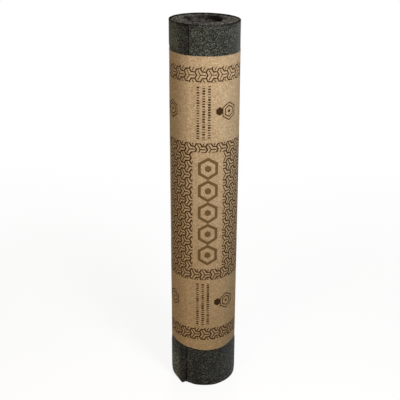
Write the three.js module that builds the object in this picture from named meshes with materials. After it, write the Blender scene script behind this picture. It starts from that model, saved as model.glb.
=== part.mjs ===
// A roll of granule-faced roofing felt, standing on its end and held shut by a band of kraft paper.
// Millimetres, +Z up. The roll's axis is the Z axis, and its lower end stands on Z = 0.
// The felt is one sheet wound outwards, anticlockwise seen from above. It is modelled as one turned
// solid whose radius grows by one thickness of felt in each turn. Only its free end, the last of the
// sheet, stands off the turn under it.
import * as THREE from 'three';
import { mergeGeometries, mergeVertices } from 'three/addons/utils/BufferGeometryUtils.js';

// The sheet of felt and how it is wound
const FELT_WIDTH = 1000; // the height of the standing roll
const FELT_THICKNESS = 1.85; // with its granules
const TURNS = 24;
const BORE_RADIUS = 42.5; // where the sheet's inner end begins
const EDGE_GAP_WIDTH = 0.5; // between the worn edges of two neighbouring turns
const EDGE_GAP_DEPTH = 0.9;
const FREE_END_BEARING = 238; // degrees from +X, where the sheet's outer end meets the floor
const FREE_END_SLANT = 9; // how far the outer end leans round the roll on its way up

// The sheet's free end, and how its edges have slipped and worn
const FREE_FACETS = 3; // facets of the last turn that are free of the turn under them
const FREE_GAP = 0.3; // how far the free end stands off under the paper
const FOOT_LIFT = 3.5; // and how much further at the foot
const FOOT_LIFT_REACH = 100; // height above the foot at which that has died away
const TOP_LIFT = 3; // and at the top
const TOP_LIFT_REACH = 60; // depth below the top at which that has died away
const TOP_DROOP = 1.5; // how far the free end's upper corner hangs down
const CORNER_WEAR = 4; // height worn off the free end's lower corner
const CORNER_PART = 0.02; // of a turn, beside the free end
const NOTCH_RISE = 2.5; // height worn off the turn under the free end, at the foot
const NOTCH_PART = 0.05; // of a turn, to either side of the free end
const FOOT_FLARE = 1.7; // how far the outer turns splay at the foot
const FLARE_TURNS = 6;
const FLARE_REACH = 110; // height above the foot at which the splay has died away

// The paper band
const PAPER_THICKNESS = 0.2;
const PAPER_CLEARANCE = 0.3; // between the paper and the felt under it
const PAPER_FROM_FOOT = 121;
const PAPER_FROM_TOP = 68;
const PAPER_LAP = 40; // glued overlap at the back
const PAPER_LAP_BEARING = 100; // degrees from +X, where the overlap's outer edge lies

// How finely the round surfaces are faceted
const FELT_FACETS = 36;
const WALL_STEPS = 3; // bends up the outer face from either end
const PAPER_FACETS = 72;
const PAPER_LEVELS = 3;
const WELD_DISTANCE = 0.001;

const FULL_TURN = 2 * Math.PI;
const OUTER_RADIUS = BORE_RADIUS + (TURNS + 1) * FELT_THICKNESS;
const SLANT_ANGLE = FREE_END_SLANT / OUTER_RADIUS;
const HINGE_FACET = FELT_FACETS - FREE_FACETS; // where the free end begins
const LAST_TURN = TURNS - 1;

// Radius of the boundary under one turn of felt. turn counts from 0 at the bore, and part is how much
// of a full turn lies behind the point, from 0 to 1.
function boundaryRadius(turn, part) {
  return BORE_RADIUS + (turn + part) * FELT_THICKNESS;
}

// Bearing of the sheet's outer end at a height: it leans round the roll on its way up.
function freeEndAngle(height) {
  return THREE.MathUtils.degToRad(FREE_END_BEARING) + (SLANT_ANGLE * height) / FELT_WIDTH;
}

// A point on the roll, given by its radius, its height and the part of a turn after the free end.
function onRoll(radius, height, part) {
  const angle = freeEndAngle(height) + part * FULL_TURN;
  return new THREE.Vector3(radius * Math.cos(angle), radius * Math.sin(angle), height);
}

// How far up the lower edge is worn, where winding counts the sheet's turns from its inner end.
function footWear(winding) {
  const beside = Math.abs(winding - LAST_TURN) / NOTCH_PART;
  const notch = NOTCH_RISE * (1 - THREE.MathUtils.smoothstep(beside, 0, 1));
  return notch + CORNER_WEAR * THREE.MathUtils.smoothstep(winding, TURNS - CORNER_PART, TURNS);
}

// How far the upper edge lies below the end of the roll.
function topDrop(winding) {
  return TOP_DROOP * freedom(winding - LAST_TURN);
}

// How free the last turn is of the turn under it, from 0 at the hinge to 1 at its end.
function freedom(part) {
  return THREE.MathUtils.smoothstep(part, HINGE_FACET / FELT_FACETS, 1);
}

// From 1 at no distance down to 0 at the reach, levelling out.
function fading(distance, reach) {
  return Math.max(0, 1 - distance / reach) ** 2;
}

function freeLift(height, part) {
  const foot = FOOT_LIFT * fading(height, FOOT_LIFT_REACH);
  const top = TOP_LIFT * fading(FELT_WIDTH - height, TOP_LIFT_REACH);
  return (FREE_GAP + foot + top) * freedom(part);
}

function footFlare(height, radius) {
  const share = THREE.MathUtils.smoothstep(radius, OUTER_RADIUS - FLARE_TURNS * FELT_THICKNESS, OUTER_RADIUS);
  return FOOT_FLARE * share * fading(height, FLARE_REACH);
}

// Heights of the corners up a face of the sheet. Faces that lift or show have bends near both ends.
function faceHeights(turn) {
  const heights = [EDGE_GAP_DEPTH, FELT_WIDTH - EDGE_GAP_DEPTH];
  if (turn >= LAST_TURN) {
    for (let step = 1; step <= WALL_STEPS; step += 1) {
      const share = (step / WALL_STEPS) ** 2;
      heights.push(FOOT_LIFT_REACH * share, FELT_WIDTH - TOP_LIFT_REACH * share);
    }
  }
  return heights.sort((a, b) => a - b);
}

// Section through some neighbouring turns beside the free end. Each turn shows on both ends between
// its worn corners. It runs outwards along the foot and back inwards along the top, and closes.
function turnsSection(first, last) {
  const foot = [];
  const top = [];
  for (let turn = first; turn <= last; turn += 1) {
    const inner = boundaryRadius(turn, 0) + EDGE_GAP_WIDTH / 2;
    const outer = boundaryRadius(turn + 1, 0) - EDGE_GAP_WIDTH / 2;
    if (turn > first) {
      foot.push(new THREE.Vector2(boundaryRadius(turn, 0), EDGE_GAP_DEPTH));
      top.push(new THREE.Vector2(boundaryRadius(turn, 0), FELT_WIDTH - EDGE_GAP_DEPTH));
    }
    foot.push(new THREE.Vector2(inner, 0), new THREE.Vector2(outer, 0));
    top.push(new THREE.Vector2(inner, FELT_WIDTH), new THREE.Vector2(outer, FELT_WIDTH));
  }
  const outside = sheetFace(last + 1);
  const inside = sheetFace(first).reverse();
  return [...foot, ...outside, ...top.reverse(), ...inside, foot[0].clone()];
}

function sheetFace(turn) {
  return faceHeights(turn).map((height) => new THREE.Vector2(boundaryRadius(turn, 0), height));
}

// The turn at a radius of the section, among the turns that the section shows.
function turnAt(radius, first, last) {
  const turn = Math.floor((radius - BORE_RADIUS) / FELT_THICKNESS);
  return THREE.MathUtils.clamp(turn, first, last);
}

// Height of a corner of the section. A groove is as deep as the lower of the turns beside it.
function wornHeight(height, beside) {
  if (height <= EDGE_GAP_DEPTH) {
    return height + Math.max(...beside.map(footWear));
  }
  if (height >= FELT_WIDTH - EDGE_GAP_DEPTH) {
    return height - Math.max(...beside.map(topDrop));
  }
  return height;
}

// A corner of the section, moved to its part of a turn, and to where wear and the free end put it.
function placeCorner(corner, part, first, last) {
  const inside = turnAt(corner.x - EDGE_GAP_WIDTH / 4, first, last);
  const outside = turnAt(corner.x + EDGE_GAP_WIDTH / 4, first, last);
  const height = wornHeight(corner.y, [inside + part, outside + part]);
  const lift = inside === LAST_TURN ? freeLift(height, part) : 0;
  const wound = corner.x + part * FELT_THICKNESS;
  return onRoll(wound + footFlare(height, wound) + lift, height, part);
}

// The section turned round the axis from one facet to another, each column moved outwards by its
// part of one turn's growth.
function woundSurface(first, last, fromFacet, toFacet) {
  const section = turnsSection(first, last);
  const geometry = new THREE.LatheGeometry(section, toFacet - fromFacet);
  const position = geometry.getAttribute('position');
  for (let index = 0; index < position.count; index += 1) {
    const part = (fromFacet + Math.floor(index / section.length)) / FELT_FACETS;
    const placed = placeCorner(section[index % section.length], part, first, last);
    position.setXYZ(index, placed.x, placed.y, placed.z);
  }
  return geometry;
}

// The cut end of the sheet: a strip whose corners are those of the turn's section, from the top down.
function sheetEnd(turn, part, facesForward) {
  const section = turnsSection(turn, turn);
  const rows = (section.length - 1) / 2;
  const outer = section.slice(1, rows + 1).reverse();
  const inner = [...section.slice(rows + 1, -1), section[0]];
  const geometry = new THREE.PlaneGeometry(1, 1, 1, rows - 1);
  const position = geometry.getAttribute('position');
  for (let row = 0; row < rows; row += 1) {
    for (const [side, corner] of [inner[row], outer[row]].entries()) {
      const placed = placeCorner(corner, part, turn, turn);
      position.setXYZ(2 * row + side, placed.x, placed.y, placed.z);
    }
  }
  if (facesForward) {
    geometry.setIndex([...geometry.getIndex().array].reverse());
  }
  return geometry;
}

// One closed body from surfaces that meet at their edges.
function weld(surfaces) {
  const bare = surfaces.map((surface) => {
    surface.deleteAttribute('normal');
    surface.deleteAttribute('uv');
    return surface;
  });
  const body = mergeVertices(mergeGeometries(bare), WELD_DISTANCE);
  body.computeVertexNormals();
  return body;
}

// All turns as one solid up to the hinge, and from there the free end apart from the rest.
function feltRoll() {
  const surfaces = [
    woundSurface(0, LAST_TURN, 0, HINGE_FACET),
    woundSurface(0, LAST_TURN - 1, HINGE_FACET, FELT_FACETS),
    woundSurface(LAST_TURN, LAST_TURN, HINGE_FACET, FELT_FACETS),
    sheetEnd(0, 0, false),
    sheetEnd(LAST_TURN, 1, true),
  ];
  const material = new THREE.MeshStandardMaterial({ color: 0x4b4c48, roughness: 0.95, metalness: 0 });
  const mesh = new THREE.Mesh(weld(surfaces), material);
  mesh.name = 'felt_roll';
  return mesh;
}

// Radius of taut paper round the felt. Past the sheet's outer end the paper runs straight from that
// end until it meets the turn below, and everywhere else it lies on the felt.
function tautRadius(part) {
  const lower = boundaryRadius(TURNS, 0);
  const upper = boundaryRadius(TURNS, 1) + FREE_GAP;
  const lying = boundaryRadius(TURNS, part) + FREE_GAP * freedom(part);
  const bridge = Math.acos(lower / upper);
  const past = part * FULL_TURN;
  const straight = past < bridge ? lower / Math.cos(bridge - past) : lower;
  return Math.max(lying, straight) + PAPER_CLEARANCE;
}

// Parts of a turn, from the free end on, where the glued overlap begins and ends.
function lapSpan() {
  const end = THREE.MathUtils.euclideanModulo((PAPER_LAP_BEARING - FREE_END_BEARING) / 360, 1);
  const start = end - PAPER_LAP / (FULL_TURN * OUTER_RADIUS);
  return { start, end };
}

// Outer side of the band: one thickness of paper, and two from the start of the overlap to its edge.
function paperOutside() {
  const { start, end } = lapSpan();
  const rise = PAPER_THICKNESS / OUTER_RADIUS;
  const stations = [start - rise, start, end];
  for (let facet = 0; facet < PAPER_FACETS; facet += 1) {
    stations.push(facet / PAPER_FACETS);
  }
  stations.sort((a, b) => a - b);
  const points = [];
  for (const part of stations) {
    const lapped = part >= start && part <= end;
    points.push(bandPoint(part, lapped ? 2 * PAPER_THICKNESS : PAPER_THICKNESS));
    if (part === end) {
      points.push(bandPoint(part, PAPER_THICKNESS));
    }
  }
  return points;
}

function paperInside() {
  const points = [];
  for (let facet = 0; facet < PAPER_FACETS; facet += 1) {
    points.push(bandPoint(facet / PAPER_FACETS, 0));
  }
  return points;
}

// A point of the band's outline, in a frame whose +X points at the free end.
function bandPoint(part, proud) {
  const radius = tautRadius(part) + proud;
  const angle = part * FULL_TURN;
  return new THREE.Vector2(radius * Math.cos(angle), radius * Math.sin(angle));
}

function paperWrapper() {
  const outline = new THREE.Shape(paperOutside());
  outline.holes.push(new THREE.Path(paperInside()));
  const depth = FELT_WIDTH - PAPER_FROM_FOOT - PAPER_FROM_TOP;
  const shape = { depth, steps: PAPER_LEVELS, bevelEnabled: false };
  const geometry = new THREE.ExtrudeGeometry(outline, shape);
  geometry.translate(0, 0, PAPER_FROM_FOOT);
  followSlant(geometry);
  const material = new THREE.MeshStandardMaterial({ color: 0xb1906a, roughness: 0.8, metalness: 0 });
  const mesh = new THREE.Mesh(weld([geometry]), material);
  mesh.name = 'paper_wrapper';
  return mesh;
}

// Turns each level of the band so that its ridge stays over the slanting end of the felt.
function followSlant(geometry) {
  const axis = new THREE.Vector3(0, 0, 1);
  const point = new THREE.Vector3();
  const position = geometry.getAttribute('position');
  for (let index = 0; index < position.count; index += 1) {
    point.fromBufferAttribute(position, index);
    point.applyAxisAngle(axis, freeEndAngle(point.z));
    position.setXYZ(index, point.x, point.y, point.z);
  }
}

const roofingFeltRoll = new THREE.Group();
roofingFeltRoll.add(feltRoll(), paperWrapper());

export default roofingFeltRoll;
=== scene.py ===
"""A standing roll of granule-faced roofing felt in a printed kraft paper band, in metres, +Z up."""
import math

import bpy
from mathutils import Matrix, Vector, noise


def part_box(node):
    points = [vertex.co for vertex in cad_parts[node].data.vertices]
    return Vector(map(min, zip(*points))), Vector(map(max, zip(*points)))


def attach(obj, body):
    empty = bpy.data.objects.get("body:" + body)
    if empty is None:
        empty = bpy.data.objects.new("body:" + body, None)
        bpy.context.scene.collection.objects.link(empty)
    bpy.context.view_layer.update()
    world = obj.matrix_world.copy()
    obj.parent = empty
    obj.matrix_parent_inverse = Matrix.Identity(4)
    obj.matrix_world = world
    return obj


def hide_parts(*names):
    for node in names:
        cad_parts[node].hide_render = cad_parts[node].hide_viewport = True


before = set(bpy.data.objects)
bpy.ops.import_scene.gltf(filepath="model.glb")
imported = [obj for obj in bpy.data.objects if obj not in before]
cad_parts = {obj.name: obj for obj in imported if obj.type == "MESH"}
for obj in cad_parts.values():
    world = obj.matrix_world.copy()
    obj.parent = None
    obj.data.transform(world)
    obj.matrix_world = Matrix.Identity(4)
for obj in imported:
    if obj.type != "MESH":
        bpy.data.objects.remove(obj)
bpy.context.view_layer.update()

# ---- Sizes of the roll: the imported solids' own, but for where the last turn ends ----
MM = 0.001
ROLL_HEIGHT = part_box("felt_roll")[1].z
BORE_RADIUS = 42.5 * MM
SHEET = 1.85 * MM
TURNS = 24
EDGE_GAP = 0.5 * MM
EDGE_GAP_DEPTH = 0.9 * MM
FREE_END_BEARING = math.radians(239.2)
FREE_END_SLANT = 7 * MM
FULL_TURN = 2 * math.pi
OUTER_RADIUS = BORE_RADIUS + (TURNS + 1) * SHEET

PAPER_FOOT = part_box("paper_wrapper")[0].z
PAPER_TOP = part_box("paper_wrapper")[1].z
PAPER_THICKNESS = 0.2 * MM
PAPER_CLEARANCE = 0.3 * MM
PAPER_LAP = 40 * MM
PAPER_LAP_BEARING = math.radians(100)

# ---- How finely the surfaces are divided ----
COLUMNS = 256
WALL_STEPS = ((0.0, 0.125, 30), (0.125, 0.93, 16), (0.93, 1.0, 28))
BORE_STEPS = ((0.0, 0.05, 4), (0.05, 0.93, 8), (0.93, 1.0, 20))
PAPER_STEPS = ((0.0, 0.04, 10), (0.04, 0.96, 70), (0.96, 1.0, 10))
PAPER_COLUMNS = 264
SHARP_ANGLE = math.radians(40)


def smoothstep(value, low, high):
    share = min(max((value - low) / (high - low), 0.0), 1.0)
    return share * share * (3 - 2 * share)


def side(bearing, half_width):
    """A stretch round the roll: the bearing of its middle and half its width, given in degrees."""
    return math.radians(bearing), math.radians(half_width)


def shares_along(steps):
    """Shares of a length from 0 to 1, where each stretch has its own number of steps."""
    shares = [0.0]
    for low, high, count in steps:
        shares += [low + (high - low) * (step + 1) / count for step in range(count)]
    return shares


def free_end_angle(height):
    """Bearing of the sheet's outer end, which leans round the roll on its way up."""
    return FREE_END_BEARING + FREE_END_SLANT / OUTER_RADIUS * height / ROLL_HEIGHT


def bearing_at(turns, height):
    return free_end_angle(height) + turns * FULL_TURN


def on_roll(radius, height, turns):
    angle = bearing_at(turns, height)
    return (radius * math.cos(angle), radius * math.sin(angle), height)


# ---- Mesh building ----
class Skin:
    """Collects faces whose corners are named by keys, so that patches share their corners."""

    def __init__(self):
        self.index = {}
        self.places = []
        self.flat = []
        self.mark_and_shade = []
        self.faces = []
        self.slots = []

    def corner(self, key, place, flat=(0.0, 0.0), mark_and_shade=0.0):
        self.index[key] = len(self.places)
        self.places.append(place)
        self.flat.append(flat)
        self.mark_and_shade.append(mark_and_shade)
        return self.index[key]

    def face(self, corners, slot):
        self.faces.append(corners)
        self.slots.append(slot)

    def build(self, name, materials):
        mesh = bpy.data.meshes.new(name)
        mesh.from_pydata(self.places, [], self.faces)
        for material in materials:
            mesh.materials.append(material)
        mesh.polygons.foreach_set("material_index", self.slots)
        mesh.polygons.foreach_set("use_smooth", [True] * len(self.faces))
        layer = mesh.uv_layers.new(name="flat")
        spots = [value for face in self.faces for at in face for value in self.flat[at]]
        layer.data.foreach_set("uv", spots)
        # each corner's mark: stains and dust, and painted shade and sheen
        mesh.attributes.new("mark_and_shade", "FLOAT", "POINT").data.foreach_set("value", self.mark_and_shade)
        mesh.set_sharp_from_angle(angle=SHARP_ANGLE)
        mesh.update()
        piece = bpy.data.objects.new(name, mesh)
        bpy.context.scene.collection.objects.link(piece)
        return piece


# ---- The felt ----
FREE_PART = 3 / 36        # share of the last turn that is free of the turn under it
FREE_GAP = 0.3 * MM
LIFT_PART = 25 / 360      # share of a turn over which the free end curls away at its corners
FOOT_LIFT = 8.0 * MM
FOOT_LIFT_REACH = 90 * MM
TOP_LIFT = 4.5 * MM
TOP_LIFT_REACH = 60 * MM
TOP_DROOP = 1.5 * MM      # how far the free end's upper corner hangs down
CORNER_WEAR = 9 * MM      # height worn off the free end's lower corner
CORNER_PART = 0.018       # share of a turn over which that corner is worn
NOTCH_RISE = 2.5 * MM     # height worn off the turn under the free end, at the foot
NOTCH_PART = 0.05
RIM_TURNS = 2             # outermost turns, whose upper edges line up
EVEN_FOOT_TURNS = (3, 1.5)  # from the outside: where the lower edges begin to line up, and do
FOOT_FLARE = 1.45 * MM    # how far the outer turns splay between the foot and the paper
FLARE_TURNS = 6
FLARE_RISE = 14 * MM
FLARE_HEIGHTS = (96 * MM, 122 * MM)
FOOT_SLUMPS = (
    # where the foot's outer turns have slumped, and how far outwards
    (side(291, 12), 1.4 * MM),
    (side(204, 17), -1.6 * MM),
)
SLUMP_HEIGHT = 35 * MM
TOP_TAPER = 1.2 * MM      # how much tighter the roll is wound at its top
TAPER_START = 0.72
TOP_SPREAD = 1.2 * MM     # how far the top has spread again, on the left and above the paper
SPREAD_SIDE = side(185, 40)
SPREAD_HEIGHTS = (0.928, 0.945)
EDGE_WANDER = 1.4 * MM    # how unevenly the turns' edges line up
FOOT_WANDER = 0.4 * EDGE_WANDER
WANDER_RATES = (1.7, 11.0)  # slow and quick unevenness along a turn, and their shares
WANDER_SHARES = (0.6, 0.25)
EDGE_FRAY = 0.5 * MM
FRAY_RATE = 90.0
EDGE_ROUND = 0.35 * MM
RIM_SPARED = 0.8          # share of the wear that the outermost turns are spared
TOP_TILT = 1.1 * MM       # half of how far the upper end leans down, from the left to the right
LOW_BEARING = math.radians(352)
HIGH_SIDE = side(135, 62)  # where the turns' upper edges are not worn
BORE_WANDER = 0.7 * MM    # how far the first turns stray
BORE_RATE = 9.0
LOOSE_TURNS = 4

# Marks on the felt, real and painted: bitumen and painted shade are counted upwards from 0 to 1, and
# dust and painted sheen downwards
RIM_DARK_DEPTHS = (1.36 * MM, 4.76 * MM)
RIM_CLEAR = 0.75          # how much of the rim's darkening is missing at the front
RIM_CLEAR_SIDE = side(278, 24)
# painted sheen, as pale dust, on the left side where the roll is seen at a slant
SHEEN_SIDE = side(207, 17)
SHEEN_HEIGHTS = (52 * MM, 130 * MM)
TOP_SHEEN = 0.5            # painted sheen above the paper, as a share of what lies at the foot
TOP_SHEEN_SIDE = side(207, 20)
# painted shadow in the mouth of the bore: how deep it reaches
BORE_SHADOW_DEPTH = 9 * MM
BORE_SHADOWS = (
    # each patch of painted shadow round the mouth of the bore, and its strength
    (side(55, 42), 0.88),
    (side(160, 14), 1.0),
    (side(218, 24), 0.5),
)
INNER_SHADOW_TURNS = 7     # turns over which that painted shadow fades out on the upper end
RIM_DARKNESS = 0.9
EDGE_DARK_TURNS = 1.9    # outermost turns whose cut edges are darkened all round
BACK_DARK_TURNS = 7.0    # and how many more are darkened at the back
DARK_FADES = (-0.7, 0.3)  # turns over which the darkening sets in
EDGE_DUSTS = ((side(180, 48), 0.72), (side(0, 48), 0.52))
GROOVE_SHADE = 0.6        # painted shade in the grooves between the turns and under the free end
STREAK_TONE = 1.2         # how much the cut edges' tone changes along and between the turns
STREAK_RATE = 20.0
# painted shade of a crease under the roll's upper edge: its ends, heights and width
CREASE_ENDS = (math.radians(307), math.radians(319))
CREASE_HEIGHTS = (986.5 * MM, 993.0 * MM)
CREASE_WIDTH = 1.2 * MM

GRANULES = 0              # material slots of the felt
CUT_EDGE = 1
UNDERSIDE = 2
CUT_END = 3

ACROSS_SHEET = (0.0, EDGE_GAP / 2 / SHEET, 0.5, 1 - EDGE_GAP / 2 / SHEET, 1.0)


def unevenness(winding, seed):
    """A smooth random value from 0 to 1 along the sheet, where winding counts its turns."""
    slow = noise.noise(Vector((winding * WANDER_RATES[0], seed, 0.0)))
    quick = noise.noise(Vector((winding * WANDER_RATES[1], seed, 5.0)))
    return min(max(0.5 + WANDER_SHARES[0] * slow + WANDER_SHARES[1] * quick, 0.0), 1.0)


def fray(winding, seed):
    """A finer random value, for the ragged cut of the sheet's edges."""
    return 0.5 + 0.5 * noise.noise(Vector((winding * FRAY_RATE, seed, 9.0)))


def fading(distance, reach):
    """From 1 at no distance down to 0 at the reach, levelling out."""
    return max(0.0, 1 - distance / reach) ** 2


def freedom(winding):
    """How free the sheet is of the turn under it, from 0 at the hinge to 1 at its end."""
    return smoothstep(winding, TURNS - FREE_PART, TURNS)


def top_height(winding):
    """Height of the sheet's upper edge."""
    inner = 1 - RIM_SPARED * smoothstep(winding, TURNS - RIM_TURNS - 1, TURNS - RIM_TURNS)
    worn = inner * EDGE_WANDER * unevenness(winding, 1.0) + EDGE_FRAY * fray(winding, 2.0)
    angle = FREE_END_BEARING + winding * FULL_TURN
    worn *= 1 - bump_round(angle, *HIGH_SIDE)
    leaning = TOP_TILT * (1 + math.cos(angle - LOW_BEARING))
    return ROLL_HEIGHT - TOP_DROOP * freedom(winding) - leaning - worn


def foot_height(winding):
    """Height of the sheet's lower edge, where the last turn's free corner is worn off."""
    notch = NOTCH_RISE * (1 - smoothstep(abs(winding - TURNS + 1), 0, NOTCH_PART))
    corner = CORNER_WEAR * min(max(1 - (TURNS - winding) / CORNER_PART, 0.0), 1.0)
    inner = 1 - smoothstep(winding, TURNS - EVEN_FOOT_TURNS[0], TURNS - EVEN_FOOT_TURNS[1])
    worn = inner * (FOOT_WANDER * unevenness(winding, 3.0) + EDGE_FRAY * fray(winding, 4.0))
    return notch + corner + worn


def groove_height(boundary, flap, top):
    """Height of a face's upper or lower edge, which between two turns lies in their groove."""
    turns = [boundary - 1, boundary]
    if flap or boundary <= 1:
        turns = [boundary]
    elif boundary > TURNS - FREE_PART:
        turns = [boundary - 1]
    depth = EDGE_ROUND if len(turns) == 1 else EDGE_GAP_DEPTH
    if top:
        return min(top_height(turn) for turn in turns) - depth
    return max(foot_height(turn) for turn in turns) + depth


def free_lift(winding, height):
    """How far the free end of the sheet stands off the turn under it."""
    foot = FOOT_LIFT * fading(height, FOOT_LIFT_REACH)
    top = TOP_LIFT * fading(ROLL_HEIGHT - height, TOP_LIFT_REACH)
    curl = smoothstep(winding, TURNS - LIFT_PART, TURNS)
    return freedom(winding) * FREE_GAP + curl * (foot + top)


def loosening(boundary, height):
    """How far the first turns stray from a true spiral."""
    loose = 1 - smoothstep(boundary, 0, LOOSE_TURNS)
    ripple = noise.noise(Vector((boundary * BORE_RATE, height * BORE_RATE, 3.0)))
    return loose * BORE_WANDER * (unevenness(boundary * 2.0, 6.0) + 0.5 * ripple)


def taper(height):
    """How much smaller the roll is, towards its tighter top."""
    return TOP_TAPER * smoothstep(height, TAPER_START * ROLL_HEIGHT, ROLL_HEIGHT)


def flare(boundary, height):
    """How far the outer turns stand out between the foot, where they turn in again, and the paper."""
    share = smoothstep(boundary, TURNS - FLARE_TURNS, TURNS)
    wide = smoothstep(height, -FLARE_RISE / 2, FLARE_RISE) * (1 - smoothstep(height, *FLARE_HEIGHTS))
    angle = bearing_at(boundary, height)
    slumped = sum(out * bump_round(angle, *where) for where, out in FOOT_SLUMPS)
    return share * (FOOT_FLARE * wide + slumped * (1 - smoothstep(height, 0, SLUMP_HEIGHT)))


def top_spread(boundary, height):
    """How far the outer turns stand out on one side of the roll's top."""
    angle = bearing_at(boundary, height)
    share = smoothstep(boundary, TURNS - FLARE_TURNS, TURNS) * smoothstep(height, *SPREAD_HEIGHTS)
    return TOP_SPREAD * share * bump_round(angle, *SPREAD_SIDE)


def face_radius(boundary, height, flap):
    """Radius of a face of the sheet, where boundary counts thicknesses from the bore."""
    radius = BORE_RADIUS + boundary * SHEET + loosening(boundary, height)
    radius += flare(boundary, height) + top_spread(boundary, height) - taper(height) * boundary / TURNS
    return radius + free_lift(boundary if flap else boundary - 1, height)


def bump_round(angle, middle, half_width):
    """From 1 at a bearing down to 0 well away from it."""
    off = (angle - middle + math.pi) % FULL_TURN - math.pi
    return math.exp(-((off / half_width) ** 2))


def rim_darkening(boundary, height):
    """Darkening along the upper edge of the outermost turn, less at the front."""
    depth = top_height(min(boundary - 1, TURNS)) - height
    angle = bearing_at(boundary, height)
    shown = 1 - RIM_CLEAR * bump_round(angle, *RIM_CLEAR_SIDE)
    return shown * (1 - smoothstep(depth, *RIM_DARK_DEPTHS))


# how strong the painted shadow round the bore is at a bearing
def bore_shadow_patches(angle):
    return min(sum(share * bump_round(angle, *where) for where, share in BORE_SHADOWS), 1.0)


def bore_shadow(boundary, height):
    """Painted shadow in the mouth of the bore, coloured as bare bitumen."""
    depth = ROLL_HEIGHT - height
    angle = bearing_at(boundary, height)
    return bore_shadow_patches(angle) * (1 - smoothstep(depth, BORE_SHADOW_DEPTH, 2 * BORE_SHADOW_DEPTH))


def crease_shade(boundary, height):
    """Painted shade of a short slanting crease under the roll's upper edge, which the mesh does not
    fold.
    """
    angle = bearing_at(boundary, height) % FULL_TURN
    share = (angle - CREASE_ENDS[0]) / (CREASE_ENDS[1] - CREASE_ENDS[0])
    if not 0 <= share <= 1:
        return 0.0
    off = abs(height - CREASE_HEIGHTS[0] - share * (CREASE_HEIGHTS[1] - CREASE_HEIGHTS[0]))
    return 1 - smoothstep(off, 0.5 * CREASE_WIDTH, 2 * CREASE_WIDTH)


def side_sheen(boundary, height):
    """Painted sheen on one side of the roll, at its foot and above the paper, laid on as pale dust."""
    angle = bearing_at(boundary, height)
    low = 1 - smoothstep(height, *SHEEN_HEIGHTS)
    high = TOP_SHEEN * smoothstep(height, *SPREAD_HEIGHTS)
    low *= bump_round(angle, *SHEEN_SIDE)
    return low + high * bump_round(angle, *TOP_SHEEN_SIDE)


def face_mark_and_shade(boundary, height):
    """The mark on a face of the sheet: painted shadow in the bore, painted shade between two turns, and
    on the outside a darkening, painted crease shade and painted sheen.
    """
    if boundary <= 1:
        return bore_shadow(boundary, height)
    if boundary < TURNS:
        # painted shade between two turns
        return GROOVE_SHADE
    mark_and_shade = max(rim_darkening(boundary, height), crease_shade(boundary, height))
    return mark_and_shade - side_sheen(boundary, height)


def edge_mark_and_shade(winding):
    """The mark on the turns' edges: darkening on the outer turns, painted shadow by the bore, dust on
    two sides, streaks.
    """
    angle = FREE_END_BEARING + winding * FULL_TURN
    inmost = TURNS - EDGE_DARK_TURNS - BACK_DARK_TURNS * max(0.0, math.sin(angle))
    outer = RIM_DARKNESS * smoothstep(winding - inmost, *DARK_FADES)
    # painted shadow by the bore, on the inner turns' upper edges
    inner = bore_shadow_patches(angle) * (1 - smoothstep(winding, INNER_SHADOW_TURNS - 2, INNER_SHADOW_TURNS))
    dark = max(outer, inner)
    dust = sum(share * bump_round(angle, *where) for where, share in EDGE_DUSTS)
    streak = STREAK_TONE * noise.noise(Vector((winding * STREAK_RATE, 7.0, 0.0)))
    return dark - dust * (1 - dark) + streak


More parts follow.
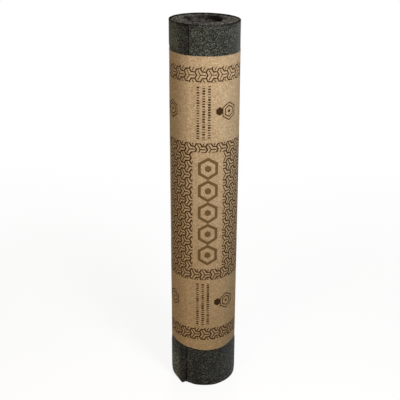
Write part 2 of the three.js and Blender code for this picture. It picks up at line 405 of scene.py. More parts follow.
class FeltSkin(Skin):
    """The roll of felt as one closed surface: its walls, its two ends and the sheet's cut ends."""

    def __init__(self):
        super().__init__()
        self.hinge = round((TURNS - FREE_PART) * COLUMNS)
        wall_shares = shares_along(WALL_STEPS)
        bore_shares = shares_along(BORE_STEPS)
        last = TURNS * COLUMNS
        self.wall(self.hinge, last + COLUMNS, wall_shares, False)
        self.wall(self.hinge, last, wall_shares, True)
        self.wall(0, COLUMNS, bore_shares, False)
        for column in range(last):
            self.end_strips(column, True)
            self.end_strips(column, False)
        self.cut_end(0, (0, False), (COLUMNS, False), bore_shares, True)
        self.cut_end(last, (last, True), (last + COLUMNS, False), wall_shares, False)

    def face_corner(self, column, flap, level, height):
        """Corner on a face of the sheet. The flap's inner face starts at the hinge."""
        flap = flap and column > self.hinge
        key = (flap, level, column)
        if key in self.index:
            return self.index[key]
        boundary = column / COLUMNS
        place = on_roll(face_radius(boundary, height, flap), height, boundary)
        flat = (boundary * FULL_TURN * OUTER_RADIUS, height)
        return self.corner(key, place, flat, face_mark_and_shade(boundary, height))

    def edge_corner(self, column, flap, top):
        flap = flap and column > self.hinge
        boundary = column / COLUMNS
        level = "top" if top else "foot"
        return self.face_corner(column, flap, level, groove_height(boundary, flap, top))

    def wall_line(self, column, flap, shares):
        """Corners up a face of the sheet, from its lower edge to its upper edge."""
        flap = flap and column > self.hinge
        low = groove_height(column / COLUMNS, flap, False)
        high = groove_height(column / COLUMNS, flap, True)
        line = [self.edge_corner(column, flap, False)]
        for level in range(1, len(shares) - 1):
            height = low + shares[level] * (high - low)
            line.append(self.face_corner(column, flap, level, height))
        line.append(self.edge_corner(column, flap, True))
        return line

    def wall(self, first, last, shares, flap):
        """One face of the sheet, which looks outwards unless it is the flap's back or the bore."""
        inward = flap or first == 0
        slot = UNDERSIDE if inward else GRANULES
        before = self.wall_line(first, flap, shares)
        for column in range(first + 1, last + 1):
            after = self.wall_line(column, flap, shares)
            left, right = (after, before) if inward else (before, after)
            self.ladder(left, right, slot)
            before = after

    def ladder(self, left, right, slot):
        """Faces between two lines of corners that run up the sheet."""
        for level in range(len(left) - 1):
            self.face((left[level], right[level], right[level + 1], left[level + 1]), slot)

    def section(self, column, top):
        """Corners across the sheet's edge, from its inner to its outer face."""
        winding = column / COLUMNS
        flap = column >= (TURNS - 1) * COLUMNS and column > self.hinge
        height = top_height(winding) if top else foot_height(winding)
        inner = face_radius(winding, height, flap)
        outer = face_radius(winding + 1, height, False)
        corners = [self.edge_corner(column, flap, top)]
        for index, share in enumerate(ACROSS_SHEET[1:-1]):
            key = ("edge", top, index, column)
            if key in self.index:
                corners.append(self.index[key])
                continue
            place = on_roll(inner + share * (outer - inner), height, winding)
            corners.append(self.corner(key, place, (0.0, 0.0), edge_mark_and_shade(winding)))
        corners.append(self.edge_corner(column + COLUMNS, False, top))
        return corners

    def end_strips(self, column, top):
        before = self.section(column, top)
        after = self.section(column + 1, top)
        if not top:
            before, after = after, before
        for index in range(len(ACROSS_SHEET) - 1):
            corners = (before[index], before[index + 1], after[index + 1], after[index])
            self.face(corners, CUT_EDGE)

    def cut_end(self, column, inner, outer, shares, first):
        """The cut end of the sheet, with the worn corners at its top and its foot."""
        inside = self.wall_line(*inner, shares)
        outside = self.wall_line(*outer, shares)
        left, right = (inside, outside) if first else (outside, inside)
        self.ladder(left, right, CUT_END)
        upper = self.section(column, True)
        lower = self.section(column, False)
        self.face(upper[::-1] if first else upper, CUT_END)
        self.face(lower if first else lower[::-1], CUT_END)


# ---- The paper ----
LAYER_GAP = 0.05 * MM     # between the overlap and the paper under it
LAYER_RISE = 3 * MM       # arc over which the overlap climbs onto the paper under it
PAPER_WAVE = 0.28 * MM
PAPER_WAVE_SIZE = 0.07
PAPER_EDGE_LIFT = 0.6 * MM
PAPER_EDGE_REACH = 9 * MM
PAPER_EDGE_WANDER = 0.5 * MM
WANDER_ROUND = 2.0        # how quickly the edges wander on the way round
RIPPLES = (0.4, 3.1)      # share of a wave's height, and how many times finer they are
PAPER_RISE = 5.4 * MM     # how far the lower edge is pulled up behind and beside the front
PAPER_SAG = 6.0 * MM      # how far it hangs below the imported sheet's edge at the front
PAPER_SAG_SIDE = side(284, 52)
PAPER_DROP = 5.3 * MM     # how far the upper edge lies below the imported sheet's
PAPER_TILT = 1.0 * MM
LAP_LIFT = 0.8 * MM       # how far the overlap's own edge stands off
LAP_LIFT_REACH = 6 * MM
PRINT_RADIUS = OUTER_RADIUS + PAPER_CLEARANCE + PAPER_THICKNESS
PRINT_FRONT = 1.5 * math.pi

PRINTED = 0               # material slots of the paper
PLAIN = 1


def taut_radius(part):
    """Radius of paper pulled tight round the felt, which bridges the step at the sheet's end."""
    lower = OUTER_RADIUS - SHEET
    upper = OUTER_RADIUS + FREE_GAP
    bridge = math.acos(lower / upper)
    past = part * FULL_TURN
    straight = lower / math.cos(bridge - past) if past < bridge else lower
    lying = lower + part * SHEET + FREE_GAP * freedom(TURNS - 1 + part)
    return max(lying, straight) + PAPER_CLEARANCE


def paper_ends(bearing):
    """Heights of the paper's lower edge, which sags at the front, and of its tilted upper edge."""
    sag = bump_round(bearing, *PAPER_SAG_SIDE)
    low = PAPER_FOOT + PAPER_RISE - (PAPER_RISE + PAPER_SAG) * sag
    return low, PAPER_TOP - PAPER_DROP - PAPER_TILT * (sag + math.cos(bearing))


def paper_wave(bearing, height, to_edge):
    """Slow waves in the paper, which grow near its two edges."""
    round_roll = Vector((math.cos(bearing), math.sin(bearing), 0.0)) * PRINT_RADIUS / PAPER_WAVE_SIZE
    at = round_roll + Vector((0.0, 0.0, height / PAPER_WAVE_SIZE / 2))
    wave = PAPER_WAVE * (noise.noise(at) + RIPPLES[0] * noise.noise(at * RIPPLES[1]))
    lift = PAPER_EDGE_LIFT * math.exp(-to_edge / PAPER_EDGE_REACH)
    return wave + lift * (0.5 + noise.noise(at * 2.0 + Vector((7.0, 0.0, 0.0))))


class PaperSkin(Skin):
    """The sheet of paper as one closed surface, wound once round the felt and over its own start."""

    def __init__(self):
        super().__init__()
        self.shares = shares_along(PAPER_STEPS)
        lap = PAPER_LAP / PRINT_RADIUS
        self.start = PAPER_LAP_BEARING - lap
        self.length = FULL_TURN + lap
        for column in range(PAPER_COLUMNS + 1):
            for level in range(len(self.shares)):
                self.add_corners(column, level)
        levels = len(self.shares) - 1
        for column in range(PAPER_COLUMNS):
            for level in range(levels):
                beside = column + 1
                self.strip((column, level), (beside, level), (beside, level + 1), (column, level + 1))
            self.edge((column + 1, 0), (column, 0))
            self.edge((column, levels), (column + 1, levels))
        for level in range(levels):
            self.edge((0, level), (0, level + 1))
            self.edge((PAPER_COLUMNS, level + 1), (PAPER_COLUMNS, level))

    def add_corners(self, column, level):
        turned = self.length * column / PAPER_COLUMNS
        bearing = self.start + turned
        seed = 11.0 if level else 13.0
        wander = PAPER_EDGE_WANDER * noise.noise(Vector((bearing * WANDER_ROUND, 0.0, seed)))
        end = level in (0, len(self.shares) - 1)
        low, high = paper_ends(bearing)
        height = low + self.shares[level] * (high - low) + (wander if end else 0.0)
        part = (bearing - free_end_angle(height)) / FULL_TURN % 1.0
        to_edge = min(height - low, high - height)
        radius = taut_radius(part) + paper_wave(bearing, height, to_edge) - taper(height)
        radius += self.layer(turned)
        flat = ((bearing - PRINT_FRONT) * PRINT_RADIUS, height)
        for side, proud in (("in", 0.0), ("out", PAPER_THICKNESS)):
            at = radius + proud
            place = (at * math.cos(bearing), at * math.sin(bearing), height)
            self.corner((side, column, level), place, flat)

    def layer(self, turned):
        """How much further out the overlap lies, and the last of it a little further still."""
        rise = LAYER_RISE / PRINT_RADIUS
        climb = smoothstep(turned, FULL_TURN - rise, FULL_TURN)
        to_end = (self.length - turned) * PRINT_RADIUS
        return climb * (PAPER_THICKNESS + LAYER_GAP) + LAP_LIFT * math.exp(-to_end / LAP_LIFT_REACH)

    def at(self, side, place):
        return self.index[(side, *place)]

    def strip(self, *corners):
        self.face([self.at("out", place) for place in corners], PRINTED)
        self.face([self.at("in", place) for place in reversed(corners)], PLAIN)

    def edge(self, first, second):
        """The cut face of the paper, from its inner to its outer side."""
        begin = (self.at("in", first), self.at("out", first))
        end = (self.at("out", second), self.at("in", second))
        self.face(begin + end, PLAIN)


# ---- Materials ----
class Nodes:
    """The nodes of a new material or world, with one call for each."""

    def __init__(self, name, kind=bpy.data.materials):
        self.owner = kind.new(name)
        self.owner.use_nodes = True
        self.tree = self.owner.node_tree
        self.tree.nodes.clear()

    def add(self, kind, **settings):
        node = self.tree.nodes.new("ShaderNode" + kind)
        for name, value in settings.items():
            setattr(node, name, value)
        return node

    def feed(self, socket, value):
        if isinstance(value, bpy.types.NodeSocket):
            self.tree.links.new(value, socket)
        else:
            socket.default_value = value

    def math(self, operation, *values):
        node = self.add("Math", operation=operation)
        for socket, value in zip(node.inputs, values):
            self.feed(socket, value)
        return node.outputs[0]

    def plus(self, first, second):
        return self.math("ADD", first, second)

    def minus(self, first, second):
        return self.math("SUBTRACT", first, second)

    def times(self, first, second):
        return self.math("MULTIPLY", first, second)

    def wrap(self, value, half):
        return self.math("WRAP", value, half, -half)

    def ramp(self, value, low, high, start=0.0, end=1.0):
        """Carries a value from low..high to start..end, smoothly and no further."""
        node = self.add("MapRange", interpolation_type="SMOOTHSTEP")
        for socket, number in zip(node.inputs, (value, low, high, start, end)):
            self.feed(socket, number)
        return node.outputs[0]

    def blend(self, share, first, second, kind="MIX"):
        node = self.add("Mix", data_type="RGBA", blend_type=kind)
        self.feed(node.inputs[0], share)
        self.feed(node.inputs[6], first)  # the node's two colours
        self.feed(node.inputs[7], second)
        return node.outputs[2]

    def place(self):
        return self.add("TexCoord").outputs["Object"]

    def scaled(self, place, size):
        node = self.add("VectorMath", operation="MULTIPLY")
        self.feed(node.inputs[0], place)
        self.feed(node.inputs[1], size)
        return node.outputs[0]

    def noise(self, place, scale, detail=2.0, roughness=0.5):
        node = self.add("TexNoise")
        self.feed(node.inputs["Vector"], place)
        self.feed(node.inputs["Scale"], scale)
        self.feed(node.inputs["Detail"], detail)
        self.feed(node.inputs["Roughness"], roughness)
        return node.outputs[0]

    def flat(self):
        """Place on the unrolled sheet or paper."""
        return self.add("UVMap", uv_map="flat").outputs[0]

    def grains(self, place, scale, dimensions="3D"):
        """Cells of a random pattern: how far off its cell's middle a point is, and the cell's value."""
        node = self.add("TexVoronoi", voronoi_dimensions=dimensions)
        self.feed(node.inputs["Vector"], place)
        self.feed(node.inputs["Scale"], scale)
        own = self.add("SeparateColor")
        self.feed(own.inputs[0], node.outputs["Color"])
        return node.outputs["Distance"], own.outputs[0]

    def split(self, place):
        node = self.add("SeparateXYZ")
        self.feed(node.inputs[0], place)
        return node.outputs

    def bump(self, height, distance, strength):
        node = self.add("Bump")
        self.feed(node.inputs["Height"], height)
        self.feed(node.inputs["Distance"], distance)
        self.feed(node.inputs["Strength"], strength)
        return node.outputs[0]

    def surface(self, colour, roughness, normal, specular=0.5, sheen=0.0):
        shader = self.add("BsdfPrincipled")
        self.feed(shader.inputs["Base Color"], colour)
        self.feed(shader.inputs["Roughness"], roughness)
        self.feed(shader.inputs["Specular IOR Level"], specular)
        self.feed(shader.inputs["Sheen Weight"], sheen)
        self.feed(shader.inputs["Sheen Roughness"], SHEEN_ROUGHNESS)
        self.feed(shader.inputs["Normal"], normal)
        return self.show(shader)

    def show(self, shader, output="OutputMaterial"):
        self.feed(self.add(output).inputs["Surface"], shader.outputs[0])
        return self.owner


# ---- Colours and grain ----
LAST_TURN_LENGTH = FULL_TURN * OUTER_RADIUS
SHEET_END = (TURNS + 1) * LAST_TURN_LENGTH
TONE_HEIGHTS = (0.10, 0.70)  # between these heights the foot's tone gives way to the top's
NOISE_RANGE = (0.3, 0.7)  # where most values of a noise texture lie
SHEEN_ROUGHNESS = 0.4

# bitumen's colour, which also serves for painted shade
BITUMEN_AND_SHADE = (0.006, 0.005, 0.004, 1.0)
GRANULE_DARK = (0.002, 0.002, 0.0015, 1.0)
GRANULE_GREY = (0.010, 0.0105, 0.008, 1.0)
GRANULE_PALE = (0.294, 0.315, 0.268, 1.0)
FELT_FOOT_TONE = (1.31, 1.33, 1.32, 1.0)
# how much dust and painted sheen lighten the felt
DUST_AND_SHEEN_LIGHTENS = (3.30, 3.45, 3.00, 1.0)
MARK_AND_SHADE_BREAKS = 330.0      # how fine the broken edges of the stains and painted shade are
MARK_AND_SHADE_BREAK = 0.25        # and how deep
MARK_AND_SHADE_EDGE = (0.25, 0.75)
SPARSE_AND_SHADED_STRIP = (0.018, 0.034)  # from the sheet's end: where grains have been lost, and painted shade on the tilted flap
GRAINS_LOST_AND_SHADED = 0.5
GRAIN_DRAWS = 61.0        # a grain's own value times this gives a second one, by its fraction
# width of bare bitumen along the free end, and of painted shadow beside it
BARE_AND_SHADOW_STRIP = (0.0, 0.0008)

GRAIN_SCALE = 900.0
GROUP_SCALE = 560.0       # grains lie in small groups of about one tone
GROUP_SHARE = 0.86
GRAIN_SPREAD = (0.30, 0.60)
GRAIN_POWERS = (4.7, 2.35)  # low on the roll there are fewer pale grains among the dark ones
DRIFT_SCALE = 14.0
DRIFT = 0.08              # how far the felt's tone drifts from place to place
GRAIN_BUMP = (0.0009, 0.6)  # depth and strength
GRAIN_HEIGHTS = (0.6, 1.0)
GRAIN_ROUGHNESS = (0.62, 0.92)
FELT_SHINE = 0.06
FELT_SHEEN = 0.26

EDGE_GRAIN_SCALE = 430.0
EDGE_CLUMP_SCALE = 190.0
CLUMP_SHARE = 0.4
EDGE_GREY = (0.080, 0.076, 0.071, 1.0)
FELT_DUST = (0.280, 0.260, 0.243, 1.0)
GREY_SHADES = (0.05, 0.45)
DUST_SHADES = (0.40, 0.90)
EDGE_BUMP = (0.0008, 0.6)
FELT_ROUGHNESS = 0.85

END_GRAIN_SCALE = 560.0
END_GRAINS = (0.55, 1.0)
FINE_BUMP = (0.0006, 0.5)
END_SHINE = 0.1

UNDERSIDE_CLOUDS = (60.0, 4.0, 0.6)  # scale, detail and roughness
CLOUD_SHADES = (-0.1, 0.15)
# pale talc, also laid on as painted light deep in the bore
UNDERSIDE_DUST_AND_LIGHT = (0.130, 0.125, 0.110, 1.0)
DUST_AND_LIGHT_STARTS = (0.004, 0.012)  # depths in the bore between which the dusting, also painted light in the bore's shade, thickens
DUST_AND_LIGHT_THICKENS = 0.22
UNDERSIDE_SHADES = (0.1, 0.9)
UNDERSIDE_SHINE = 0.12

KRAFT = (0.500, 0.362, 0.215, 1.0)
KRAFT_DARK = (0.325, 0.220, 0.110, 1.0)
KRAFT_PALE = (0.740, 0.575, 0.385, 1.0)
KRAFT_FOOT_TONE = (0.96, 0.90, 0.80, 1.0)
FIBRES = (260.0, 4.0, 0.65)
FIBRE_STRETCH = (1.0, 1.0, 5.0)
FIBRE_SHADES = (0.06, 0.20)
KRAFT_CLOUDS = (26.0, 3.0)
KRAFT_CLOUD_SHADES = (0.05, 0.09)
FLECK_SCALE = 560.0
FLECK_SHARE = 0.70
FIBRE_BUMP = (0.0003, 0.5)
PRINTED_ROUGHNESS = 0.65
PRINTED_SHINE = 0.05
PLAIN_ROUGHNESS = 0.7
PLAIN_SHINE = 0.15
INK = (0.040, 0.016, 0.0015, 1.0)
PALE_INK = (0.165, 0.100, 0.040, 1.0)
WEAR = (420.0, 3.0)
WEAR_RANGE = (0.25, 0.6)
WORN_INK = 0.90           # how much ink is left where it is most worn


def marked_and_shaded(nodes, colour):
    """A colour with bitumen over it where the surface's mark is high, which is partly painted shade,
    and pale dust and painted sheen where it is low.
    """
    mark = nodes.add("Attribute", attribute_name="mark_and_shade").outputs["Fac"]
    breaks = nodes.noise(nodes.place(), MARK_AND_SHADE_BREAKS)
    broken = nodes.plus(mark, nodes.ramp(breaks, *NOISE_RANGE, -MARK_AND_SHADE_BREAK, MARK_AND_SHADE_BREAK))
    dust_and_light = nodes.blend(nodes.ramp(mark, -1.0, 0.0, 1.0, 0.0), colour, DUST_AND_SHEEN_LIGHTENS, "MULTIPLY")
    return nodes.blend(nodes.ramp(broken, *MARK_AND_SHADE_EDGE), dust_and_light, BITUMEN_AND_SHADE)


def bared_and_shadowed(nodes, colour, across):
    """No grains along the sheet's free end, and painted shadow on the turn just beside it."""
    to_end = nodes.minus(SHEET_END, across)
    beside = nodes.minus(across, SHEET_END - LAST_TURN_LENGTH)
    on_sheet = nodes.ramp(to_end, *BARE_AND_SHADOW_STRIP, 1.0, 0.0)
    shadow_beside_it = nodes.ramp(beside, *BARE_AND_SHADOW_STRIP, 1.0, 0.0)
    return nodes.blend(nodes.math("MAXIMUM", on_sheet, shadow_beside_it), colour, BITUMEN_AND_SHADE)


def held_and_shaded(nodes, own, across):
    """Which grains are still there: some have been lost along the sheet's free end, and fewer are shown
    there as painted shade of the tilted flap.
    """
    lost_and_shaded = nodes.ramp(nodes.minus(SHEET_END, across), *SPARSE_AND_SHADED_STRIP, GRAINS_LOST_AND_SHADED, 0.0)
    draw = nodes.math("FRACT", nodes.times(own, GRAIN_DRAWS))
    return nodes.math("GREATER_THAN", draw, lost_and_shaded)


def foot_toned(nodes, colour, tone):
    """A colour that takes on another tone low down on the roll."""
    height = nodes.split(nodes.place())[2]
    return nodes.blend(nodes.ramp(height, *TONE_HEIGHTS, 1.0, 0.0), colour, tone, "MULTIPLY")


def granules():
    """Crushed stone pressed into bitumen: small grains in several greys, with dark between them."""
    nodes = Nodes("felt_granules")
    flat = nodes.flat()
    group = nodes.grains(flat, GROUP_SCALE, "2D")[1]
    reach, own = nodes.grains(flat, GRAIN_SCALE, "2D")
    across = nodes.split(flat)[0]
    drift = nodes.noise(nodes.place(), DRIFT_SCALE)
    shade = nodes.plus(nodes.times(own, 1 - GROUP_SHARE), nodes.times(group, GROUP_SHARE))
    shade = nodes.plus(shade, nodes.ramp(drift, *NOISE_RANGE, 0.0, DRIFT))
    power = nodes.ramp(nodes.split(nodes.place())[2], *TONE_HEIGHTS, *GRAIN_POWERS)
    stone = nodes.blend(nodes.math("POWER", shade, power), GRANULE_GREY, GRANULE_PALE)
    grain = nodes.ramp(reach, *GRAIN_SPREAD, 1.0, 0.0)
    shown = nodes.times(grain, held_and_shaded(nodes, own, across))
    colour = foot_toned(nodes, nodes.blend(shown, GRANULE_DARK, stone), FELT_FOOT_TONE)
    colour = marked_and_shaded(nodes, bared_and_shadowed(nodes, colour, across))
    height = nodes.times(shown, nodes.ramp(own, 0.0, 1.0, *GRAIN_HEIGHTS))
    normal = nodes.bump(height, *GRAIN_BUMP)
    roughness = nodes.ramp(own, 0.0, 1.0, *GRAIN_ROUGHNESS)
    return nodes.surface(colour, roughness, normal, FELT_SHINE, FELT_SHEEN)


def cut_edge():
    """The sheet's edge: dusty felt and clumps of grains, darkened where it is marked, which by the bore
    is painted shadow.
    """
    nodes = Nodes("felt_cut_edge")
    place = nodes.place()
    reach, own = nodes.grains(place, EDGE_GRAIN_SCALE)
    clump = nodes.grains(place, EDGE_CLUMP_SCALE)[1]
    shade = nodes.plus(nodes.times(own, 1 - CLUMP_SHARE), nodes.times(clump, CLUMP_SHARE))
    lower = nodes.blend(nodes.ramp(shade, *GREY_SHADES), GRANULE_DARK, EDGE_GREY)
    colour = nodes.blend(nodes.ramp(shade, *DUST_SHADES), lower, FELT_DUST)
    normal = nodes.bump(nodes.minus(own, reach), *EDGE_BUMP)
    return nodes.surface(marked_and_shaded(nodes, colour), FELT_ROUGHNESS, normal, 0.0)


def cut_end():
    """The sheet's cut end: bitumen with a few grains."""
    nodes = Nodes("felt_cut_end")
    reach, own = nodes.grains(nodes.place(), END_GRAIN_SCALE)
    colour = nodes.blend(nodes.ramp(own, *END_GRAINS), BITUMEN_AND_SHADE, GRANULE_GREY)
    return nodes.surface(colour, FELT_ROUGHNESS, nodes.bump(reach, *FINE_BUMP), END_SHINE)


def underside():
    """The back of the felt: bitumen near the roll's end, and a thicker dusting of talc further in,
    which also paints light into the shade deep in the bore.
    """
    nodes = Nodes("felt_underside")
    place = nodes.place()
    own = nodes.grains(place, EDGE_GRAIN_SCALE)[1]
    cloud = nodes.noise(place, *UNDERSIDE_CLOUDS)
    depth = nodes.minus(ROLL_HEIGHT, nodes.split(place)[2])
    # paler deeper in: talc, and painted light in the bore's shade
    dust_and_light = nodes.ramp(depth, *DUST_AND_LIGHT_STARTS, 0.0, DUST_AND_LIGHT_THICKENS)
    grain = nodes.times(own, 1 - CLUMP_SHARE)
    shade = nodes.plus(grain, nodes.ramp(cloud, *NOISE_RANGE, *CLOUD_SHADES))
    share = nodes.ramp(nodes.plus(shade, dust_and_light), *UNDERSIDE_SHADES)
    colour = nodes.blend(share, GRANULE_DARK, UNDERSIDE_DUST_AND_LIGHT)
    normal = nodes.bump(own, *FINE_BUMP)
    return nodes.surface(marked_and_shaded(nodes, colour), FELT_ROUGHNESS, normal, UNDERSIDE_SHINE)


# ---- The print: a tortoiseshell fret, an old pattern, in bands round the paper ----
HEXAGON = math.sqrt(0.75)  # from a hexagon's middle to a side, for a side of 1
FRET_PITCH = 27.8 * MM
FRET_ROW = 23.16 * MM
FRET_ACROSS = 2.9 * MM    # where one figure's middle lies, from the front of the roll
FRET_UP = 301.4 * MM
FRET_LINE = 4.0 * MM
FRET_ARM = 13.1 * MM
FRET_ARM_LINE = 2.95 * MM
FINE_HEIGHTS = (0.70, 0.86)
FINE_EDGE = 0.3 * MM      # how much each line's edges are pulled in at the top of the paper
INK_SOFT = 0.35 * MM

TOP_BORDER = (863.0 * MM, 900.9 * MM)
TOP_BORDER_RISE = 0.5 * MM  # how much higher the figures stand there than the middle field's rows
MIDDLE_FIELD = (332.2 * MM, 711.3 * MM)
FOOT_BORDER = (147.7 * MM, 185.0 * MM)
FOOT_BORDER_RISE = 3.3 * MM
REPEAT = 162.6 * MM       # windows, dashes and emblems come again after this much of the turn
REPEAT_MIDDLE = 8.5 * MM
WINDOW = (363.8 * MM, 686.9 * MM)
WINDOW_SIDES = (-39.2 * MM, 41.4 * MM)

CHAIN_MIDDLE = 9.5 * MM
CHAIN_STEP = 59.7 * MM
CHAIN_UP = 525.1 * MM
CHAIN_APOTHEM = 22.3 * MM
CHAIN_LINE = 7.6 * MM
CHAIN_HEART = 8.0 * MM
CHAIN_SPAN = (376.0 * MM, 674.7 * MM)

DASH_COLUMNS = (-25.5 * MM, -11.0 * MM, 3.0 * MM)
DASH_WIDTH = 6.8 * MM
DASH_STEP = 6.4 * MM
DASHES_APART = 1000.0     # keeps one column's random numbers apart from the next one's
DASH_LENGTHS = (2.3 * MM, 5.1 * MM)
DASH_SPANS = ((194.0 * MM, 321.7 * MM), (721.9 * MM, 855.0 * MM))

EMBLEM_ACROSS = 58.0 * MM
EMBLEM_UP = (260.2 * MM, 788.0 * MM)
EMBLEM_RINGS = 2
EMBLEM_APOTHEM = 19.0 * MM
EMBLEM_LINE = 2.8 * MM
EMBLEM_APART = 28.0 * MM
EMBLEM_SMALL = 9.5 * MM
EMBLEM_RISE = 2.5 * MM    # how much higher the small figure beside an emblem stands
EMBLEM_STEP = 7.0 * MM


def folded_hexagon(nodes, across, up):
    """Distance from the middle of a hexagon on a corner, measured square to its sides."""
    wide = nodes.math("ABSOLUTE", across)
    high = nodes.math("ABSOLUTE", up)
    slant = nodes.plus(nodes.times(wide, 0.5), nodes.times(high, HEXAGON))
    return nodes.math("MAXIMUM", wide, slant)


def line_ink(nodes, distance, width):
    """Ink along a line of some width, from the distance to the line."""
    edge = width / 2
    return nodes.ramp(distance, edge - INK_SOFT, edge + INK_SOFT, 1.0, 0.0)


def between(nodes, value, low, high, inside=1.0):
    """The given number inside a stretch and 0 outside it."""
    middle = (low + high) / 2
    away = nodes.math("ABSOLUTE", nodes.minus(value, middle))
    edge = (high - low) / 2
    return nodes.ramp(away, edge - INK_SOFT, edge + INK_SOFT, inside, 0.0)


def nearest_figure(nodes, across, up):
    """Place in the fret, measured from the middle of the nearest figure."""
    half = FRET_PITCH / 2
    x1 = nodes.wrap(across, half)
    y1 = nodes.wrap(up, FRET_ROW)
    x2 = nodes.wrap(nodes.plus(across, half), half)
    y2 = nodes.wrap(nodes.plus(up, FRET_ROW), FRET_ROW)
    reach1 = length(nodes, x1, y1)
    reach2 = length(nodes, x2, y2)
    first = nodes.math("LESS_THAN", reach1, reach2)
    x = nodes.plus(x2, nodes.times(first, nodes.minus(x1, x2)))
    y = nodes.plus(y2, nodes.times(first, nodes.minus(y1, y2)))
    return x, y


def length(nodes, x, y):
    squares = nodes.plus(nodes.times(x, x), nodes.times(y, y))
    return nodes.math("SQRT", squares)


def fret_ink(nodes, across, up):
    """Figures of three joined hexagons, each with a three-armed line inside."""
    beside = nodes.minus(across, FRET_ACROSS)
    above = nodes.minus(up, FRET_UP)
    x, y = nearest_figure(nodes, beside, above)
    third = math.radians(60)
    side = FRET_PITCH / 3
    turned = nodes.math("ABSOLUTE", nodes.wrap(nodes.math("ARCTAN2", y, x), third))
    reach = length(nodes, x, y)
    along = nodes.times(reach, nodes.math("COSINE", turned))
    aside = nodes.times(reach, nodes.math("SINE", turned))
    beyond = nodes.math("MAXIMUM", nodes.minus(along, FRET_ARM), 0.0)
    finer = nodes.ramp(up, *FINE_HEIGHTS, 0.0, FINE_EDGE)
    arms = line_ink(nodes, nodes.plus(length(nodes, beyond, aside), finer), FRET_ARM_LINE)
    corner_x = nodes.minus(along, 1.5 * side)
    corner_y = nodes.minus(aside, HEXAGON * side)
    facing = nodes.minus(nodes.math("ARCTAN2", corner_y, corner_x), third)
    facing = nodes.math("ABSOLUTE", nodes.wrap(facing, third))
    off_line = nodes.times(length(nodes, corner_x, corner_y), nodes.math("SINE", facing))
    return nodes.math("MAXIMUM", arms, line_ink(nodes, nodes.plus(off_line, finer), FRET_LINE))


def fret_bands(nodes, across, up, local):
    """Where the fret is printed: two borders, and a middle field with a bare window in it."""
    window = nodes.times(between(nodes, local, *WINDOW_SIDES), between(nodes, up, *WINDOW))
    field = nodes.minus(between(nodes, up, *MIDDLE_FIELD), window)
    borders = nodes.plus(between(nodes, up, *TOP_BORDER), between(nodes, up, *FOOT_BORDER))
    top_rise = between(nodes, up, *TOP_BORDER, TOP_BORDER_RISE)
    foot_rise = between(nodes, up, *FOOT_BORDER, FOOT_BORDER_RISE)
    lowered = nodes.minus(up, nodes.plus(top_rise, foot_rise))
    return nodes.times(fret_ink(nodes, across, lowered), nodes.plus(field, borders))


def chain_ink(nodes, local, up):
    """A chain of plain hexagon rings up the window."""
    wide = nodes.minus(local, CHAIN_MIDDLE - REPEAT_MIDDLE)
    high = nodes.wrap(nodes.minus(up, CHAIN_UP), CHAIN_STEP / 2)
    off = folded_hexagon(nodes, wide, high)
    from_ring = nodes.math("ABSOLUTE", nodes.minus(off, CHAIN_APOTHEM))
    ring = line_ink(nodes, from_ring, CHAIN_LINE)
    heart = line_ink(nodes, off, 2 * CHAIN_HEART)
    return nodes.times(nodes.math("MAXIMUM", ring, heart), between(nodes, up, *CHAIN_SPAN))


def dash_ink(nodes, local, up):
    """Three columns of plain dashes over and under the middle field."""
    ink = 0.0
    for index, middle in enumerate(DASH_COLUMNS):
        column = between(nodes, local, middle - DASH_WIDTH / 2, middle + DASH_WIDTH / 2)
        shift = nodes.plus(up, index * DASH_STEP / 3)
        row = nodes.math("ABSOLUTE", nodes.wrap(shift, DASH_STEP / 2))
        number = nodes.math("ROUND", nodes.math("DIVIDE", shift, DASH_STEP))
        chance = nodes.add("TexWhiteNoise", noise_dimensions="1D")
        nodes.feed(chance.inputs["W"], nodes.plus(number, DASHES_APART * index))
        size = nodes.ramp(chance.outputs[0], 0.0, 1.0, *DASH_LENGTHS)
        past = nodes.minus(row, nodes.times(size, 0.5))
        dash = nodes.ramp(past, -INK_SOFT, INK_SOFT, 1.0, 0.0)
        ink = nodes.math("MAXIMUM", ink, nodes.times(column, dash))
    spans = nodes.plus(between(nodes, up, *DASH_SPANS[0]), between(nodes, up, *DASH_SPANS[1]))
    return nodes.times(ink, spans)


def emblem_ink(nodes, local, up):
    """Plain nested hexagons beside the dashes."""
    ink = 0.0
    wide = nodes.minus(local, EMBLEM_ACROSS)
    for middle in EMBLEM_UP:
        beside = nodes.plus(wide, EMBLEM_APART)
        small = folded_hexagon(nodes, beside, nodes.minus(up, middle + EMBLEM_RISE))
        ink = nodes.math("MAXIMUM", ink, line_ink(nodes, small, 2 * EMBLEM_SMALL))
        off = folded_hexagon(nodes, wide, nodes.minus(up, middle))
        for step in range(EMBLEM_RINGS):
            ring = nodes.minus(off, EMBLEM_APOTHEM - step * EMBLEM_STEP)
            ink = nodes.math("MAXIMUM", ink, line_ink(nodes, nodes.math("ABSOLUTE", ring), EMBLEM_LINE))
        ink = nodes.math("MAXIMUM", ink, line_ink(nodes, off, EMBLEM_STEP))
    return ink


def kraft_colour(nodes, place):
    """Brown paper: long fibres round the roll, soft clouds and small flecks."""
    fibres = nodes.noise(nodes.scaled(place, FIBRE_STRETCH), *FIBRES)
    clouds = nodes.noise(place, *KRAFT_CLOUDS)
    flecks = nodes.grains(nodes.flat(), FLECK_SCALE, "2D")[1]
    fibre_tone = nodes.ramp(fibres, *NOISE_RANGE, *FIBRE_SHADES)
    cloud_tone = nodes.ramp(clouds, *NOISE_RANGE, *KRAFT_CLOUD_SHADES)
    tone = nodes.plus(nodes.plus(fibre_tone, cloud_tone), nodes.times(flecks, FLECK_SHARE))
    lower = nodes.blend(nodes.ramp(tone, 0.0, 0.5), KRAFT_DARK, KRAFT)
    paper = nodes.blend(nodes.ramp(tone, 0.5, 1.0), lower, KRAFT_PALE)
    return foot_toned(nodes, paper, KRAFT_FOOT_TONE), fibres


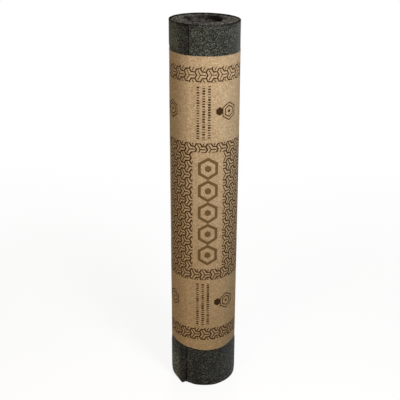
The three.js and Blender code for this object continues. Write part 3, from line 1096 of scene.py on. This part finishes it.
def printed_kraft():
    """The outer side of the paper, with the print in two strengths of brown."""
    nodes = Nodes("kraft_printed")
    place = nodes.place()
    paper, fibres = kraft_colour(nodes, place)
    flat = nodes.split(nodes.flat())
    across, up = flat[0], flat[1]
    local = nodes.wrap(nodes.minus(across, REPEAT_MIDDLE), REPEAT / 2)
    fine = nodes.math("MAXIMUM", fret_bands(nodes, across, up, local), dash_ink(nodes, local, up))
    fine = nodes.math("MAXIMUM", fine, emblem_ink(nodes, local, up))
    worn = nodes.ramp(nodes.noise(place, *WEAR), *WEAR_RANGE, WORN_INK, 1.0)
    colour = nodes.blend(nodes.times(chain_ink(nodes, local, up), worn), paper, PALE_INK)
    colour = nodes.blend(nodes.times(fine, worn), colour, INK)
    normal = nodes.bump(fibres, *FIBRE_BUMP)
    return nodes.surface(colour, PRINTED_ROUGHNESS, normal, PRINTED_SHINE)


def plain_kraft():
    """The paper's inner side and its cut edges."""
    nodes = Nodes("kraft_plain")
    place = nodes.place()
    paper, fibres = kraft_colour(nodes, place)
    return nodes.surface(paper, PLAIN_ROUGHNESS, nodes.bump(fibres, *FIBRE_BUMP), PLAIN_SHINE)


# ---- Floor, light and camera ----
FLOOR_RADIUS = 14.0
FLOOR_SIDES = 96
FLOOR_COLOUR = (0.22, 0.22, 0.22, 1.0)
FLOOR_LIFT = 0.87         # light added to the floor for the camera alone, so that it reads nearly white
FLOOR_FADES = (0.5, 2.2)  # distances from the roll between which the floor fades to white

CAMERA_PLACE = Vector((0.0, -1.9390, 1.3395))
CAMERA_PITCH = math.radians(22.799)
CAMERA_YAW = math.radians(-0.328)
CAMERA_ROLL = math.radians(0.206)
CAMERA_LENS = 71.67
CAMERA_SENSOR = 36.0

LIGHT_AIM = Vector((0.0, 0.0, 0.5))
LIGHTS = (
    # name, place, size, power and colour
    ("key", Vector((0.55, -0.85, 1.25)), 0.4, 9.2, (1.0, 0.985, 0.975)),
    ("fill", Vector((-1.25, -1.90, 0.85)), 0.8, 14.5, (1.0, 0.79, 0.54)),
    ("back", Vector((0.0, 2.40, 1.40)), 0.8, 16.0, (1.0, 1.0, 1.0)),
)
AMBIENT = 0.10
WHITE = (1.0, 1.0, 1.0, 1.0)


def add_floor():
    bpy.ops.mesh.primitive_circle_add(vertices=FLOOR_SIDES, radius=FLOOR_RADIUS, fill_type="NGON")
    floor = bpy.context.object
    floor.name = "floor"
    floor.data.materials.append(floor_material())


def seen(nodes):
    """1 for what the camera sees, straight or in gloss or glass, and 0 for the light on the roll."""
    path = nodes.add("LightPath").outputs
    direct = nodes.math("MAXIMUM", path["Is Camera Ray"], path["Is Glossy Ray"])
    return nodes.math("MAXIMUM", direct, path["Is Transmission Ray"])


def floor_material():
    """A pale floor that keeps the roll's shadow and, for the camera, fades to white away from it."""
    nodes = Nodes("floor")
    place = nodes.split(nodes.add("NewGeometry").outputs["Position"])
    away = length(nodes, place[0], place[1])
    camera = seen(nodes)
    diffuse = nodes.add("BsdfDiffuse")
    nodes.feed(diffuse.inputs["Color"], FLOOR_COLOUR)
    glow = nodes.add("Emission")
    nodes.feed(glow.inputs["Strength"], nodes.times(camera, FLOOR_LIFT))
    near = nodes.add("AddShader")
    nodes.feed(near.inputs[0], diffuse.outputs[0])
    nodes.feed(near.inputs[1], glow.outputs[0])
    far = nodes.add("Emission")
    mixed = nodes.add("MixShader")
    nodes.feed(mixed.inputs[0], nodes.times(camera, nodes.ramp(away, *FLOOR_FADES)))
    nodes.feed(mixed.inputs[1], near.outputs[0])
    nodes.feed(mixed.inputs[2], far.outputs[0])
    return nodes.show(mixed)


def add_world():
    """Soft light from all round, seen as white by the camera."""
    nodes = Nodes("studio", bpy.data.worlds)
    background = nodes.add("Background")
    nodes.feed(background.inputs["Color"], WHITE)
    nodes.feed(background.inputs["Strength"], nodes.ramp(seen(nodes), 0.0, 1.0, AMBIENT, 1.0))
    bpy.context.scene.world = nodes.show(background, "OutputWorld")


def add_light(name, place, size, power, colour):
    data = bpy.data.lights.new(name, "AREA")
    data.shape = "DISK"
    data.size = size
    data.energy = power
    data.color = colour
    light = bpy.data.objects.new(name, data)
    light.location = place
    light.rotation_euler = (LIGHT_AIM - place).to_track_quat("-Z", "Y").to_euler()
    light.visible_camera = False
    bpy.context.scene.collection.objects.link(light)


def add_camera():
    data = bpy.data.cameras.new("camera")
    data.sensor_width = CAMERA_SENSOR
    data.lens = CAMERA_LENS
    camera = bpy.data.objects.new("camera", data)
    level = math.cos(CAMERA_PITCH)
    turned, straight = math.sin(CAMERA_YAW), math.cos(CAMERA_YAW)
    ahead = Vector((turned * level, straight * level, -math.sin(CAMERA_PITCH)))
    right = Vector((straight, -turned, 0.0))
    up = right.cross(ahead)
    right, up = (
        right * math.cos(CAMERA_ROLL) + up * math.sin(CAMERA_ROLL),
        up * math.cos(CAMERA_ROLL) - right * math.sin(CAMERA_ROLL),
    )
    turn = Matrix((right, up, -ahead)).transposed()
    camera.matrix_world = Matrix.Translation(CAMERA_PLACE) @ turn.to_4x4()
    bpy.context.scene.collection.objects.link(camera)
    bpy.context.scene.camera = camera


def add_felt():
    piece = FeltSkin().build("felt_wound", [granules(), cut_edge(), underside(), cut_end()])
    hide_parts("felt_roll")
    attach(piece, "root")


def add_paper():
    piece = PaperSkin().build("paper_band", [printed_kraft(), plain_kraft()])
    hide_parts("paper_wrapper")
    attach(piece, "root")


bpy.context.scene.view_settings.view_transform = "Standard"
add_felt()
add_paper()
add_floor()
add_world()
for light in LIGHTS:
    add_light(*light)
add_camera()
